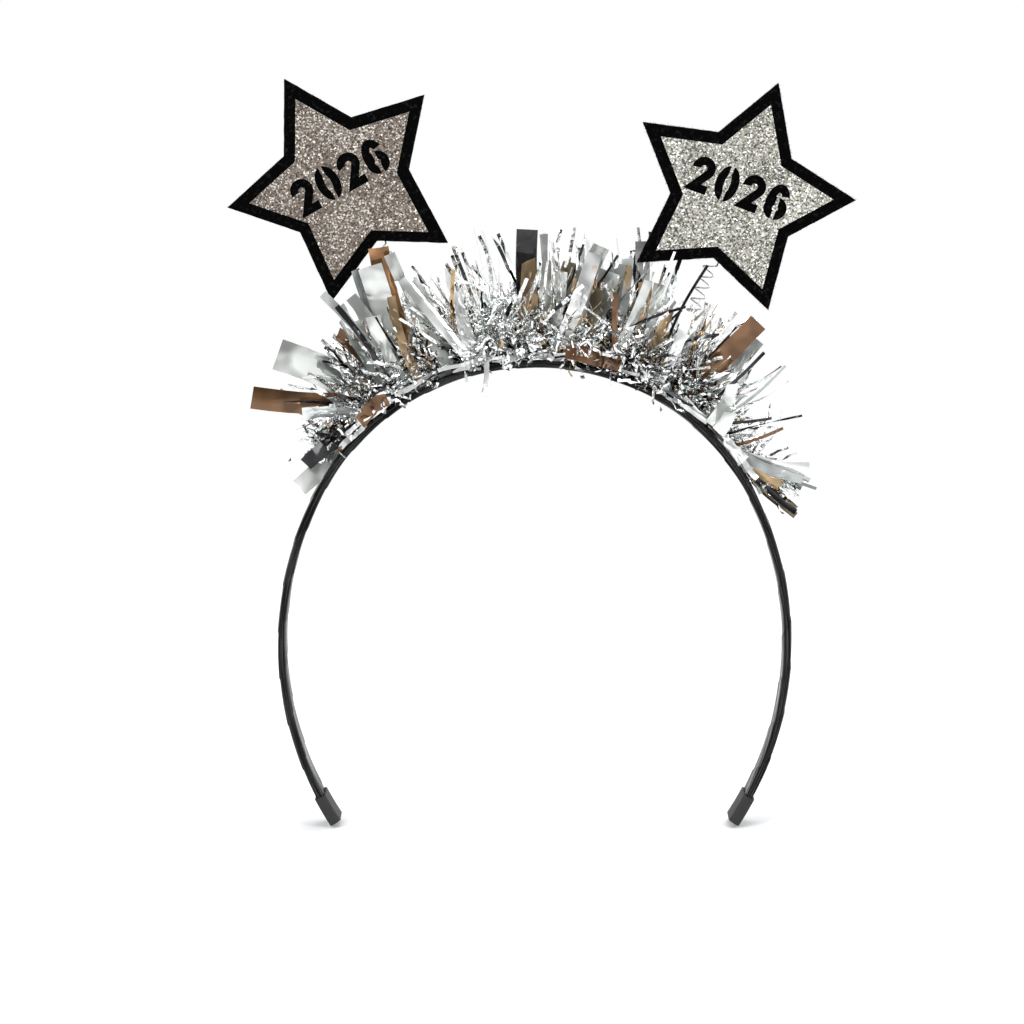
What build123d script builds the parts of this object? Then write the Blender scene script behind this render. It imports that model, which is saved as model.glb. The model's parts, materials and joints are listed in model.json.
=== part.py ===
from build123d import *
from math import cos, degrees, radians, sin
import os

# New Year head bopper: a ribbon-wrapped plastic headband that carries a foil tinsel garland and two
# felt stars on coil springs. Each star has a glitter card with stencilled numerals on its front.
# Millimetres. +Z is up, -Y is the front, and the origin is the centre of the arc that the band makes
# over the crown of the head. An angle turns from +Z towards +X, so the left-hand side is negative.

# band
seat_radius = 75.0  # inside of the ribbon over the crown, where the band lies on the head
core_width = 9.6
core_thickness = 1.4
ribbon_thickness = 0.55  # two layers, where one turn laps over the next
ribbon_play = 0.05
crown_angle = 62.0  # each leg flexes about the band at this angle
flex_gap = 0.3
leg_seat_radius = 105.0
leg_end_angle = 122.0
leg_end_rounding = 4.0
tip_cover_length = 9.0
tip_cover_wall = 0.5
tip_cover_play = 0.1

# garland
garland_start, garland_end = -52.5, 57.5
core_overrun = 2.0  # degrees of bare core past each end of the pile
twist_radius = 0.9  # outer radius of the garland's twisted core wires
twist_offset = 4.4  # the core runs behind the spring feet
twist_lift = 0.55  # glue between the ribbon and the core
glue_dot_width = 1.8
glue_dot_angle = 1.1
glue_dot_offset = 3.6  # degrees from a spring foot
touch_gap = 0.02  # between two pieces that rest on each other
pile_lift = 0.3
pile_half_width = 24.0
pile_height = 16.5
pile_bore_play = 0.1
pile_parting = 0.2  # degrees between the two halves of the pile over the crown
spring_gap_angle = 5.2  # bare band on each side of a spring foot

# springs
wire_radius = 0.25
coil_radius = 2.05
span_gap = 0.06  # between the spans of a spring that move apart
foot_turns, lower_turns, middle_turns, upper_turns, top_turns = 2, 2, 3, 4, 1
tail_length = 14.0
peg_radius = 1.6
peg_height = 5.5
peg_chamfer = 0.3
foot_glue_radius = 3.2
foot_glue_height = 3.0
foot_glue_taper = 8
foot_glue_sink = 1.0  # how far the glue starts below the ribbon before its seat is cut
coil_play = 0.08

# stars
star_radius = 37.0
star_notch_ratio = 0.553
felt_thickness = 1.2
glue_layer = 0.6
glue_star_radius = 31.0
tail_groove = 0.75
card_radius = 30.0
card_thickness = 0.5
card_lift = 0.05
star_clearance = 1.8  # from the last coil to the notch above it
hand_cut = {"left": {6: -5.5}, "right": {}}  # degrees that a corner is off a true star's

# numerals, cut through the card
numeral_height = 11.4
numeral_width = 7.3
numeral_pitch = 8.3
numeral_stroke = 2.7
numeral_rise = 2.6
bridge_width = 0.95
bowl_exit = 35.0  # degrees below its right-hand side that the bowl of the 2 runs into the diagonal
terminal_slope = 0.15  # of the cut that ends the bowl of the 2
mouth_inner, mouth_outer = 1.8, 3.3  # heights of the upper edge of the 6's mouth

# foot angle of each spring, lean of each star, and pitch of its coils
sides = {
    "left": {"sign": -1, "foot": -20.7, "lean": -29.6, "pitch": 3.754},
    "right": {"sign": 1, "foot": 29.6, "lean": 20.0, "pitch": 3.58},
}

core_middle = seat_radius + ribbon_thickness + ribbon_play + core_thickness / 2
ribbon_width = core_width + 2 * (ribbon_thickness + ribbon_play)
ribbon_height = core_thickness + 2 * (ribbon_thickness + ribbon_play)
ribbon_outer = seat_radius + ribbon_height
twist_middle = ribbon_outer + twist_lift + twist_radius
pile_base = ribbon_outer + pile_lift
leg_shift = leg_seat_radius - seat_radius
bore_width = core_width + 2 * ribbon_play
bore_height = core_thickness + 2 * ribbon_play

os.makedirs("parts", exist_ok=True)


def heading(angle):
    """Unit vector in the plane of the band at an angle."""
    return Vector(sin(radians(angle)), 0, cos(radians(angle)))


def square_to(angle, origin):
    """Plane square to a heading: local z points along it and local x lies in the plane of the band."""
    across = (cos(radians(angle)), 0, -sin(radians(angle)))
    return Plane(origin=origin, x_dir=across, z_dir=heading(angle))


def across_band(angle, centre=Vector(0, 0, 0)):
    """Plane that cuts the band square: local x runs towards the back and local y outwards."""
    return Plane(origin=centre, x_dir=(0, 1, 0), z_dir=(cos(radians(angle)), 0, -sin(radians(angle))))


def arc_angle(radius, distance):
    """Angle in degrees that a distance takes up along an arc."""
    return degrees(distance / radius)


def save(part, name):
    part.label = name
    export_step(part, f"parts/{name}.step")


# ---------------------------------------------------------------- band over the crown
joint_gap = arc_angle(core_middle, flex_gap / 2)
crown_start = joint_gap - crown_angle

with BuildPart() as band_crown:
    with BuildSketch(across_band(crown_start)):
        with Locations((0, core_middle)):
            Rectangle(core_width, core_thickness)
    revolve(axis=Axis.Y, revolution_arc=-2 * crown_start)
    for side in sides.values():
        with BuildSketch(square_to(side["foot"], heading(side["foot"]) * core_middle)):
            Circle(peg_radius)
        extrude(amount=peg_height + core_thickness / 2)
        outwards = Axis((0, 0, 0), heading(side["foot"]))
        peg_end = faces().filter_by(GeomType.PLANE).sort_by(outwards)[-1]
        chamfer(peg_end.edges(), peg_chamfer)
save(band_crown.part, "band_crown")

with BuildPart() as ribbon_crown:
    with BuildSketch(across_band(crown_start)):
        with Locations((0, core_middle)):
            Rectangle(ribbon_width, ribbon_height)
            Rectangle(bore_width, bore_height, mode=Mode.SUBTRACT)
    revolve(axis=Axis.Y, revolution_arc=-2 * crown_start)
    for side in sides.values():
        with BuildSketch(square_to(side["foot"], heading(side["foot"]) * core_middle)):
            Circle(peg_radius + 2 * ribbon_play)
        extrude(amount=ribbon_height, mode=Mode.SUBTRACT)
save(ribbon_crown.part, "ribbon_crown")


# ---------------------------------------------------------------- legs
def leg_centre(sign):
    return heading(sign * crown_angle) * -leg_shift


def leg_plane(sign, angle):
    """Plane across a leg at an angle on the leg's own arc."""
    return across_band(sign * angle, leg_centre(sign))


def leg_axis(sign):
    """Axis of a leg's arc, directed so that a positive sweep runs down the leg."""
    return Axis(leg_centre(sign), (0, sign, 0))


leg_start_angle = crown_angle + joint_gap
leg_arc = leg_end_angle - leg_start_angle
leg_middle = core_middle + leg_shift
cover_start_angle = leg_end_angle - arc_angle(leg_seat_radius, tip_cover_length)
cover_bore_arc = arc_angle(leg_seat_radius, tip_cover_length + tip_cover_play)
cover_arc = arc_angle(leg_seat_radius, tip_cover_length + tip_cover_play + tip_cover_wall)
cover_bore_width = ribbon_width + 2 * tip_cover_play
cover_bore_height = ribbon_height + 2 * tip_cover_play
cover_width = cover_bore_width + 2 * tip_cover_wall
cover_height = cover_bore_height + 2 * tip_cover_wall

for name, side in sides.items():
    sign = side["sign"]
    with BuildPart() as band_leg:
        with BuildSketch(leg_plane(sign, leg_start_angle)):
            with Locations((0, leg_middle)):
                Rectangle(core_width, core_thickness)
        revolve(axis=leg_axis(sign), revolution_arc=leg_arc)
        leg_end = faces().sort_by(Axis.Z)[0]
        fillet(leg_end.edges().filter_by(Axis.Y, reverse=True), leg_end_rounding)
    save(band_leg.part, f"{name}_band_leg")

    with BuildPart() as ribbon_leg:
        with BuildSketch(leg_plane(sign, leg_start_angle)):
            with Locations((0, leg_middle)):
                Rectangle(ribbon_width, ribbon_height)
                Rectangle(bore_width, bore_height, mode=Mode.SUBTRACT)
        revolve(axis=leg_axis(sign), revolution_arc=leg_arc)
    save(ribbon_leg.part, f"{name}_ribbon_leg")

    with BuildPart() as tip_cover:
        with BuildSketch(leg_plane(sign, cover_start_angle)):
            with Locations((0, leg_middle)):
                RectangleRounded(cover_width, cover_height, cover_height / 3)
        revolve(axis=leg_axis(sign), revolution_arc=cover_arc)
        with BuildSketch(leg_plane(sign, cover_start_angle)):
            with Locations((0, leg_middle)):
                Rectangle(cover_bore_width, cover_bore_height)
        revolve(axis=leg_axis(sign), revolution_arc=cover_bore_arc, mode=Mode.SUBTRACT)
    save(tip_cover.part, f"{name}_tip_cover")


# ---------------------------------------------------------------- garland
with BuildPart() as garland_core:
    with BuildSketch(across_band(garland_start - core_overrun)):
        with Locations((twist_offset, twist_middle)):
            Circle(twist_radius)
    revolve(axis=Axis.Y, revolution_arc=garland_end - garland_start + 2 * core_overrun)
save(garland_core.part, "garland_core")

# soft film pile: a closed solid for each stretch between the springs, in two halves over the crown
left_foot, right_foot = sides["left"]["foot"], sides["right"]["foot"]
crown_first, crown_last = left_foot + spring_gap_angle, right_foot - spring_gap_angle
crown_middle = (crown_first + crown_last) / 2
pile_spans = {
    "garland_left": (garland_start, left_foot - spring_gap_angle),
    "garland_crown_left": (crown_first, crown_middle - pile_parting / 2),
    "garland_crown_right": (crown_middle + pile_parting / 2, crown_last),
    "garland_right": (right_foot + spring_gap_angle, garland_end),
}
for name, (first, last) in pile_spans.items():
    with BuildPart() as pile:
        with BuildSketch(across_band(first)):
            with Locations((0, pile_base)):
                Ellipse(pile_half_width, pile_height)
                Rectangle(
                    3 * pile_half_width,
                    2 * pile_height,
                    align=(Align.CENTER, Align.MAX),
                    mode=Mode.SUBTRACT,
                )
            with Locations((twist_offset, twist_middle)):
                Circle(twist_radius + pile_bore_play, mode=Mode.SUBTRACT)
        revolve(axis=Axis.Y, revolution_arc=last - first)
    save(pile.part, name)

# hot glue that holds the core down wherever the pile is parted
dot_angles = [garland_start - core_overrun / 2, garland_end + core_overrun / 2]
for side in sides.values():
    dot_angles += [side["foot"] - glue_dot_offset, side["foot"] + glue_dot_offset]
with BuildPart() as garland_glue:
    for angle in dot_angles:
        with BuildSketch(across_band(angle - glue_dot_angle / 2)):
            with Locations((twist_offset, ribbon_outer + touch_gap)):
                Rectangle(glue_dot_width, twist_lift + twist_radius / 3, align=(Align.CENTER, Align.MIN))
            with Locations((twist_offset, twist_middle)):
                Circle(twist_radius + touch_gap, mode=Mode.SUBTRACT)
        revolve(axis=Axis.Y, revolution_arc=glue_dot_angle)
save(garland_glue.part, "garland_glue")


# ---------------------------------------------------------------- springs
def spring_points(side):
    """Ends of the spans of one spring, from its foot on the ribbon to its last coil."""
    foot, lean, pitch = side["foot"], side["lean"], side["pitch"]
    points = [heading(foot) * (ribbon_outer + wire_radius)]
    for angle, turns in (
        (foot, foot_turns),
        ((foot + lean) / 2, lower_turns),
        (lean, middle_turns),
        (lean, upper_turns),
        (lean, top_turns),
    ):
        points.append(points[-1] + heading(angle) * turns * pitch)
    return points


def coil_span(start, angle, turns, pitch):
    """One straight stretch of a spring, with the wire starting on the right of its axis."""
    with BuildPart() as span:
        with BuildLine() as path:
            Helix(pitch, turns * pitch - span_gap, coil_radius, center=start, direction=heading(angle))
        with BuildSketch(Plane(origin=path.line @ 0, z_dir=path.line % 0)):
            Circle(wire_radius)
        sweep(is_frenet=True)
    return span.part


for name, side in sides.items():
    foot, lean, pitch = side["foot"], side["lean"], side["pitch"]
    foot_point, sway_point, nod_point, bounce_point, top_point, end_point = spring_points(side)
    save(coil_span(foot_point, foot, foot_turns, pitch), f"{name}_spring_foot")
    save(coil_span(sway_point, (foot + lean) / 2, lower_turns, pitch), f"{name}_spring_lower")
    save(coil_span(nod_point, lean, middle_turns, pitch), f"{name}_spring_middle")
    save(coil_span(bounce_point, lean, upper_turns, pitch), f"{name}_spring_upper")

    # last coil, and the straight tail that is glued inside the star
    with BuildPart() as spring_top:
        add(coil_span(top_point, lean, top_turns, pitch))
        coil_plane = square_to(lean, end_point)
        tail_start = end_point + coil_plane.x_dir * coil_radius - heading(lean) * span_gap
        with Locations(tail_start):
            Sphere(wire_radius)
        with BuildSketch(square_to(lean, tail_start)):
            Circle(wire_radius)
        extrude(amount=tail_length)
    save(spring_top.part, f"{name}_spring_top")

    # glue round the first coils, seated on the curve of the ribbon
    with BuildPart() as foot_glue:
        glue_plane = square_to(foot, heading(foot) * (ribbon_outer - foot_glue_sink))
        with BuildSketch(glue_plane):
            Circle(foot_glue_radius)
        extrude(amount=foot_glue_sink + foot_glue_height, taper=foot_glue_taper)
        with BuildSketch(Plane.XZ):
            Circle(ribbon_outer + touch_gap)
        extrude(amount=ribbon_width, both=True, mode=Mode.SUBTRACT)
        with BuildSketch(glue_plane):
            Circle(coil_radius + wire_radius + coil_play)
        extrude(amount=foot_glue_sink + 2 * foot_glue_height, mode=Mode.SUBTRACT)
    save(foot_glue.part, f"{name}_foot_glue")


# ---------------------------------------------------------------- stars
def star_face(radius, name):
    """Five-pointed star with one point up and its notches at the shared ratio."""
    points = []
    for corner in range(10):
        reach = radius if corner % 2 == 0 else radius * star_notch_ratio
        angle = radians(90 + 36 * corner + hand_cut[name].get(corner, 0))
        points.append((reach * cos(angle), reach * sin(angle)))
    with BuildSketch() as face:
        with BuildLine():
            Polyline(*points, close=True)
        make_face()
    return face.sketch


def star_layer(name, radius, plane, thickness):
    """Flat star of one material, built up from its plane along the plane's normal."""
    with BuildPart() as layer:
        with BuildSketch(plane):
            add(star_face(radius, name))
        extrude(amount=thickness)
    return layer.part


half_wide, half_tall = numeral_width / 2, numeral_height / 2
bowl_outer, bowl_inner = half_wide, half_wide - numeral_stroke


def numeral_zero():
    with BuildSketch() as zero:
        Ellipse(half_wide, half_tall)
        Ellipse(bowl_inner, half_tall - numeral_stroke, mode=Mode.SUBTRACT)
        Rectangle(bridge_width, numeral_height, mode=Mode.SUBTRACT)
    return zero.sketch


def numeral_two():
    bowl = Vector(0, half_tall - bowl_outer)
    out = Vector(cos(radians(bowl_exit)), -sin(radians(bowl_exit)))
    down = Vector(-sin(radians(bowl_exit)), -cos(radians(bowl_exit)))
    inner_end = bowl + out * bowl_inner
    outer_end = bowl + out * bowl_outer
    corner = inner_end + down * ((inner_end.Y + half_tall) / -down.Y)
    heel = outer_end + down * ((outer_end.Y + half_tall) / -down.Y)
    terminal = bowl + Vector(-1, -terminal_slope) * 2 * numeral_width
    with BuildSketch() as two:
        with Locations(bowl):
            Circle(bowl_outer)
            Circle(bowl_inner, mode=Mode.SUBTRACT)
        with BuildLine():
            Polyline(bowl, terminal, (0, -2 * numeral_height), bowl + out * 3 * numeral_width, close=True)
        make_face(mode=Mode.SUBTRACT)
        with BuildLine():
            Polyline(inner_end, corner, heel, outer_end, close=True)
        make_face()
        with Locations((corner.X + numeral_stroke, -half_tall)):
            Rectangle(
                numeral_width - numeral_stroke,
                numeral_stroke,
                align=(Align.MIN, Align.MIN),
            )
    return two.sketch


def numeral_six():
    bowl = Vector(0, bowl_outer - half_tall)
    mouth = [bowl, (numeral_width, bowl.Y), (numeral_width, mouth_outer), (0, mouth_inner)]
    with BuildSketch() as six:
        Ellipse(half_wide, half_tall)
        Ellipse(bowl_inner, half_tall - numeral_stroke, mode=Mode.SUBTRACT)
        with BuildLine():
            Polyline(*mouth, close=True)
        make_face(mode=Mode.SUBTRACT)
        with Locations(bowl):
            Circle(bowl_outer)
            Circle(bowl_inner, mode=Mode.SUBTRACT)
            Rectangle(bridge_width, 2 * bowl_outer + bridge_width, mode=Mode.SUBTRACT)
    return six.sketch


numerals = [numeral_two(), numeral_zero(), numeral_two(), numeral_six()]

for name, side in sides.items():
    lean = side["lean"]
    end_point = spring_points(side)[-1]
    centre = end_point + heading(lean) * (star_clearance + star_radius * star_notch_ratio)
    front = Plane(origin=centre, x_dir=square_to(lean, centre).x_dir, z_dir=(0, -1, 0))
    felt_back = front.offset(-glue_layer / 2 - felt_thickness)
    felt_front = front.offset(glue_layer / 2)
    card_plane = felt_front.offset(felt_thickness + card_lift)
    save(star_layer(name, star_radius, felt_back, felt_thickness), f"{name}_star_back")
    save(star_layer(name, star_radius, felt_front, felt_thickness), f"{name}_star_front")

    # glue between the felts, with a groove for the spring's tail
    with BuildPart() as star_glue:
        add(star_layer(name, glue_star_radius, front.offset(-glue_layer / 2), glue_layer))
        with BuildSketch(front.offset(-glue_layer)):
            with Locations((coil_radius, -star_radius * star_notch_ratio)):
                Rectangle(tail_groove, 2 * tail_length)
        extrude(amount=2 * glue_layer, mode=Mode.SUBTRACT)
    save(star_glue.part, f"{name}_star_glue")

    with BuildPart() as glitter_card:
        add(star_layer(name, card_radius, card_plane, card_thickness))
        with BuildSketch(card_plane):
            for place, numeral in enumerate(numerals):
                with Locations(((place - 1.5) * numeral_pitch, numeral_rise)):
                    add(numeral)
        extrude(amount=card_thickness, mode=Mode.SUBTRACT)
    save(glitter_card.part, f"{name}_glitter_card")
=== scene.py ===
import json
import math

import bmesh
import bpy
import numpy as np
from mathutils import Matrix, Vector, noise


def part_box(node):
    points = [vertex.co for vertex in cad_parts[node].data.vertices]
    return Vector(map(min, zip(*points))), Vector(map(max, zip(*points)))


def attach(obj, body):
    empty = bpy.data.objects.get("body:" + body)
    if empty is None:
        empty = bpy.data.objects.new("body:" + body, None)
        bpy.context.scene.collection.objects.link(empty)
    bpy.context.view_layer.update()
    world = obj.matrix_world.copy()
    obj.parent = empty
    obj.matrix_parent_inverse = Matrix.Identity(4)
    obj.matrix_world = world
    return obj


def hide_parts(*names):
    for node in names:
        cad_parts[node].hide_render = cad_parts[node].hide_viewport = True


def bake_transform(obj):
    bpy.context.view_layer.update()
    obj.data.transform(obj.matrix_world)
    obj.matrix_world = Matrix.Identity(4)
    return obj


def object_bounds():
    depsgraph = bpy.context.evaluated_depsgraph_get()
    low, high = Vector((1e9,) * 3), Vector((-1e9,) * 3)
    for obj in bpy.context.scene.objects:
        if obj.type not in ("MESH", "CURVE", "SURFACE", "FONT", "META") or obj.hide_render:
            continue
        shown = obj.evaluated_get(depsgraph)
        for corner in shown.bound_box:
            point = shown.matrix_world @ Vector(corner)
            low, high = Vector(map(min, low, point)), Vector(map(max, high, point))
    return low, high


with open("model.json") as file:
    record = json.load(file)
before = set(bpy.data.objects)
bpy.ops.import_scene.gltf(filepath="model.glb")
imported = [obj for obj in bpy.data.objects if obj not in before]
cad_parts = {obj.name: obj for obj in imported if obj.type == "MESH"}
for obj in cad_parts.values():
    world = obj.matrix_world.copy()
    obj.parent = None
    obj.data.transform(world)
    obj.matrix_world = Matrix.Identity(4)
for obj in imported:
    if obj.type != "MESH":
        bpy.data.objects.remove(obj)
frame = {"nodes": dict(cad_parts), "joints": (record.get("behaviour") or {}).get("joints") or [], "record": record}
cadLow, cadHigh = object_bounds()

mm = 0.001
joints = {joint["name"]: joint for joint in frame["joints"]}
nodes = frame["nodes"]
ribbonLow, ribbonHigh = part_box("ribbon_crown")
ribbonOuter = ribbonHigh.z  # outside of the ribbon, from the centre of the band's arc
ribbonWidth = ribbonHigh.y - ribbonLow.y
seatRadius = frame["record"]["mounts"][0]["dims"]["r_mm"] * mm
coreMiddle = Vector(joints["left_leg_flex"]["pos_m"]).length
sideNames = ("left", "right")


def heading(angle):
    return Vector((math.sin(angle), 0, math.cos(angle)))


def polar(angle, radius, depth):  # arrays to points, with the angle from +Z towards +X
    return np.stack(np.broadcast_arrays(np.sin(angle) * radius, depth, np.cos(angle) * radius), axis=-1)


def unit(vectors):
    return vectors / np.linalg.norm(vectors, axis=-1, keepdims=True)


def meshObject(name, bm, material, smooth=True):
    mesh = bpy.data.meshes.new(name)
    bm.to_mesh(mesh)
    bm.free()
    mesh.materials.append(material)
    if smooth:
        mesh.shade_smooth()
    piece = bpy.data.objects.new(name, mesh)
    bpy.context.collection.objects.link(piece)
    return piece


def readPoints(mesh):
    points = np.empty(len(mesh.vertices) * 3)
    mesh.vertices.foreach_get("co", points)
    return points.reshape(-1, 3)


# shader helpers
def newMaterial(name, **settings):
    material = bpy.data.materials.new(name)
    material.use_nodes = True
    shader = material.node_tree.nodes["Principled BSDF"]
    for socket, value in settings.items():
        shader.inputs[socket.replace("_", " ")].default_value = value
    return material, material.node_tree, shader


def addNode(tree, kind, inputs=None, **settings):
    node = tree.nodes.new(kind)
    for key, value in settings.items():
        setattr(node, key, value)
    for key, value in (inputs or {}).items():
        if isinstance(value, bpy.types.NodeSocket):
            tree.links.new(value, node.inputs[key])
        else:
            node.inputs[key].default_value = value
    return node


def addRamp(tree, factor, *stops):
    ramp = addNode(tree, "ShaderNodeValToRGB", {"Fac": factor})
    elements = ramp.color_ramp.elements
    while len(elements) < len(stops):
        elements.new(0.5)
    for element, (place, colour) in zip(elements, stops):
        element.position = place
        element.color = (*colour, 1) if isinstance(colour, tuple) else (colour, colour, colour, 1)
    return ramp.outputs["Color"]


def addMath(tree, operation, *values):
    return addNode(tree, "ShaderNodeMath", dict(enumerate(values)), operation=operation).outputs[0]


def addNoise(tree, place, scale, detail):
    cloud = addNode(tree, "ShaderNodeTexNoise", {"Vector": place, "Scale": scale, "Detail": detail})
    return cloud.outputs["Fac"]


def addBump(tree, height, distance, **inputs):
    bump = addNode(tree, "ShaderNodeBump", {"Height": height, "Distance": distance, **inputs})
    return bump.outputs["Normal"]


def addScale(tree, place, scale):
    return addNode(tree, "ShaderNodeMapping", {"Vector": place, "Scale": scale}).outputs["Vector"]


def mixColours(tree, factor, first, second):
    return addNode(tree, "ShaderNodeMix", {0: factor, 6: first, 7: second}, data_type="RGBA").outputs[2]


def newGroup(name, inputs, outputs):
    group = bpy.data.node_groups.new(name, "ShaderNodeTree")
    for label, kind, value in inputs:
        socket = group.interface.new_socket(name=label, in_out="INPUT", socket_type=kind)
        if value is not None:
            socket.default_value = value
    for label, kind in outputs:
        group.interface.new_socket(name=label, in_out="OUTPUT", socket_type=kind)
    return group, group.nodes.new("NodeGroupInput").outputs, group.nodes.new("NodeGroupOutput").inputs


def placeGroup(tree, group, **values):
    node = tree.nodes.new("ShaderNodeGroup")
    node.node_tree = group
    for label, value in values.items():
        if isinstance(value, bpy.types.NodeSocket):
            tree.links.new(value, node.inputs[label])
        else:
            node.inputs[label].default_value = value
    return node.outputs


def makeCrinkleGroup():  # fine dents in a thin surface, as a normal and a mask
    defaults = {"Size": 1.5, "Depth": 0.1, "Detail": 2.0}  # size and depth in mm
    group, inside, out = newGroup(
        "crinkle",
        [(label, "NodeSocketFloat", value) for label, value in defaults.items()],
        [("Normal", "NodeSocketVector"), ("Mask", "NodeSocketFloat")],
    )
    place = addNode(group, "ShaderNodeTexCoord").outputs["Object"]
    perMetre = addMath(group, "DIVIDE", 1 / mm, inside["Size"])
    cloud = addNoise(group, place, perMetre, inside["Detail"])
    dent = addBump(group, cloud, addMath(group, "MULTIPLY", inside["Depth"], mm))
    group.links.new(dent, out["Normal"])
    group.links.new(cloud, out["Mask"])
    return group


crinkle = makeCrinkleGroup()


# materials
filmLook = {  # metal, size and depth of the dents in mm, and how dark the film is in its painted reflection patches
    "roughness": 0.09,
    "strand": (1.0, 2.4, 0.22, 1.0),
    "strip": (0.48, 8.0, 0.24, 0.52),
}


def makeFilm(name, metal, dentSize, dentDepth, dark):
    material, tree, shader = newMaterial(name, Metallic=metal)
    tint = addNode(tree, "ShaderNodeAttribute", attribute_name="tint").outputs["Color"]
    dents = placeGroup(tree, crinkle, Size=dentSize, Depth=dentDepth, Detail=1.0)
    rough = filmLook["roughness"]
    gloss = addRamp(tree, dents["Mask"], (0.3, rough * 0.5), (0.7, rough * 2))
    # painted reflections: the base colour darkens in noise patches, standing in for the studio mirrored in the
    # foil
    paintedReflections = addRamp(tree, dents["Mask"], (0.4, dark), (0.56, 1.0))
    colour = addNode(tree, "ShaderNodeVectorMath", {0: tint, 1: paintedReflections}, operation="MULTIPLY").outputs[0]
    tree.links.new(colour, shader.inputs["Base Color"])
    tree.links.new(gloss, shader.inputs["Roughness"])
    tree.links.new(dents["Normal"], shader.inputs["Normal"])
    return material


feltLook = {
    "colour": (0.0012, 0.0012, 0.0013),
    "lint": (0.012, 0.012, 0.013),
    "fibre": 0.35,  # mm
    "speck": 1.1,
    "nap": 0.16,
    "sheen": (0.35, 0.35, 0.37, 1),
}


def makeFelt():
    material, tree, shader = newMaterial(
        "blackFelt", Roughness=0.95, Specular_IOR_Level=0.03, Sheen_Weight=0.01, Sheen_Roughness=0.5,
        Sheen_Tint=feltLook["sheen"],
    )
    wool = placeGroup(tree, crinkle, Size=feltLook["fibre"], Depth=feltLook["nap"], Detail=6.0)
    specks = placeGroup(tree, crinkle, Size=feltLook["speck"], Detail=8.0)
    colour = addRamp(tree, specks["Mask"], (0.56, feltLook["colour"]), (0.74, feltLook["lint"]))
    tree.links.new(colour, shader.inputs["Base Color"])
    tree.links.new(wool["Normal"], shader.inputs["Normal"])
    return material


glitterLook = {
    "flake": 0.42,  # mm across
    "tilt": 0.75,
    "metal": 0.55,
    "drift": 70.0,  # of the slow change in brightness, per metre
    "face": -0.93,  # a face that looks more to the front than this holds flakes
    "left": {"dark": (0.09, 0.07, 0.058), "mid": (0.26, 0.215, 0.175), "light": (0.8, 0.76, 0.7)},
    "right": {"dark": (0.12, 0.115, 0.1), "mid": (0.55, 0.535, 0.465), "light": (0.95, 0.94, 0.9)},
    "paper": (0.78, 0.77, 0.74),
}


def makeGlitter(side):
    tones = glitterLook[side]
    material, tree, shader = newMaterial(side + "Glitter", Roughness=0.3)
    place = addNode(tree, "ShaderNodeTexCoord").outputs["Object"]
    perMetre = 1 / (glitterLook["flake"] * mm)
    flakes = addNode(tree, "ShaderNodeTexVoronoi", {"Vector": place, "Scale": perMetre}).outputs["Color"]
    pick = addNode(tree, "ShaderNodeSeparateColor", {"Color": flakes}).outputs["Red"]
    shade = addMath(tree, "SUBTRACT", addNoise(tree, place, glitterLook["drift"], 2.0), 0.5)
    bright = addMath(tree, "MULTIPLY_ADD", shade, 0.5, pick)
    stops = ((0.0, "dark"), (0.28, "dark"), (0.45, "mid"), (0.78, "mid"), (0.9, "light"))
    colour = addRamp(tree, bright, *[(at, tones[tone]) for at, tone in stops])
    # only the front holds flakes; its cut edges show the paper
    facing = addNode(tree, "ShaderNodeTexCoord").outputs["Normal"]
    depth = addNode(tree, "ShaderNodeSeparateXYZ", {"Vector": facing}).outputs["Y"]
    front = addMath(tree, "LESS_THAN", depth, glitterLook["face"])
    cover = mixColours(tree, front, (*glitterLook["paper"], 1), colour)
    tree.links.new(cover, shader.inputs["Base Color"])
    # each flake tilts its own way
    spread = addNode(tree, "ShaderNodeVectorMath", {0: flakes, 1: (0.5, 0.5, 0.5)}, operation="SUBTRACT")
    lean = addMath(tree, "MULTIPLY", front, glitterLook["tilt"])
    tilt = addNode(tree, "ShaderNodeVectorMath", {0: spread.outputs[0], "Scale": lean}, operation="SCALE")
    surface = addNode(tree, "ShaderNodeNewGeometry").outputs["Normal"]
    turned = addNode(tree, "ShaderNodeVectorMath", {0: surface, 1: tilt.outputs[0]}, operation="ADD")
    facet = addNode(tree, "ShaderNodeVectorMath", {0: turned.outputs[0]}, operation="NORMALIZE")
    tree.links.new(facet.outputs[0], shader.inputs["Normal"])
    tree.links.new(addMath(tree, "MULTIPLY", front, glitterLook["metal"]), shader.inputs["Metallic"])
    return material


satinLook = {
    "colour": (0.002, 0.002, 0.0024),
    # colour of the fold streaks, a painted sheen
    "paintedSheen": (0.012, 0.012, 0.014),
    "roughness": 0.3,
    "folds": (0.05, 0.9, 1.0),  # per mm along the band and round it
    "threads": (0.6, 9.0, 1.0),
    "foldDepth": 0.35,
    "threadDepth": 0.05,
}


def makeSatin():
    material, tree, shader = newMaterial("blackSatin")
    lay = addNode(tree, "ShaderNodeUVMap", uv_map="lay").outputs["UV"]
    streak = addNoise(tree, addScale(tree, lay, satinLook["folds"]), 1.0, 3.0)
    grain = addNoise(tree, addScale(tree, lay, satinLook["threads"]), 1.0, 2.0)
    # painted sheen: the base colour is lighter along the fold streaks, where the specular also rises
    colour = addRamp(tree, streak, (0.5, satinLook["colour"]), (0.75, satinLook["paintedSheen"]))
    tree.links.new(colour, shader.inputs["Base Color"])
    glint = addRamp(tree, streak, (0.42, 0.08), (0.7, 0.75))
    tree.links.new(glint, shader.inputs["Specular IOR Level"])
    rough = satinLook["roughness"]
    gloss = addRamp(tree, streak, (0.35, rough * 1.4), (0.65, rough * 0.7))
    tree.links.new(gloss, shader.inputs["Roughness"])
    fold = addBump(tree, streak, satinLook["foldDepth"] * mm)
    tree.links.new(addBump(tree, grain, satinLook["threadDepth"] * mm, Normal=fold), shader.inputs["Normal"])
    return material


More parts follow.
